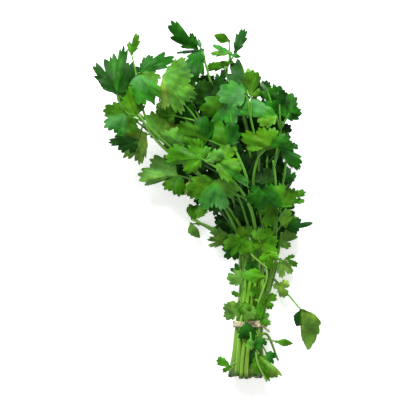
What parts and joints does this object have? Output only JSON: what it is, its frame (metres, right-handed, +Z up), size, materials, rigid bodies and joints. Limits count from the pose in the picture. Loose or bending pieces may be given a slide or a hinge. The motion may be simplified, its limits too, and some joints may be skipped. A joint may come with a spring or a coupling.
{
  "type": "parsley bunch",
  "caption": "Bunch of flat-leaf parsley, tied round its stems with twine and lying on its side, with foliage fanning out from one end.",
  "frame": {"origin": "on the table, under the middle of the bunch's bounding box", "axes": "+Y from the cut stem ends to the leaves, +X to the right of the bunch seen from above, +Z up from the table"},
  "size_m": [0.1934, 0.3082, 0.0792],
  "materials": {
    "parsley": "fresh green leaf and stem, semi-matte with a soft waxy sheen",
    "twine": "natural plant-fibre twine, matt"
  },
  "bodies": {
    "root": {"tie": "twine", "sprig_back_left": "parsley", "sprig_back_mid_left": "parsley", "sprig_back_middle": "parsley", "sprig_back_mid_right": "parsley", "sprig_back_right": "parsley", "sprig_left_small": "parsley", "sprig_inner_left": "parsley", "sprig_inner_mid_left": "parsley", "sprig_inner_mid_right": "parsley", "sprig_inner_right": "parsley", "sprig_right_hanging": "parsley", "sprig_left_low": "parsley", "sprig_dark_left": "parsley", "sprig_top_left": "parsley", "sprig_top_right": "parsley", "sprig_right_top": "parsley", "sprig_right_middle": "parsley", "sprig_right_edge": "parsley", "sprig_far_left": "parsley", "sprig_left_shelf": "parsley", "sprig_light_left": "parsley", "sprig_dark_middle": "parsley", "sprig_upright_middle": "parsley", "sprig_right_front": "parsley", "sprig_left_neck": "parsley", "sprig_left_front": "parsley", "sprig_front_short": "parsley", "sprig_fork_right": "parsley", "sprig_right_tie": "parsley"}
  },
  "joints": []
}
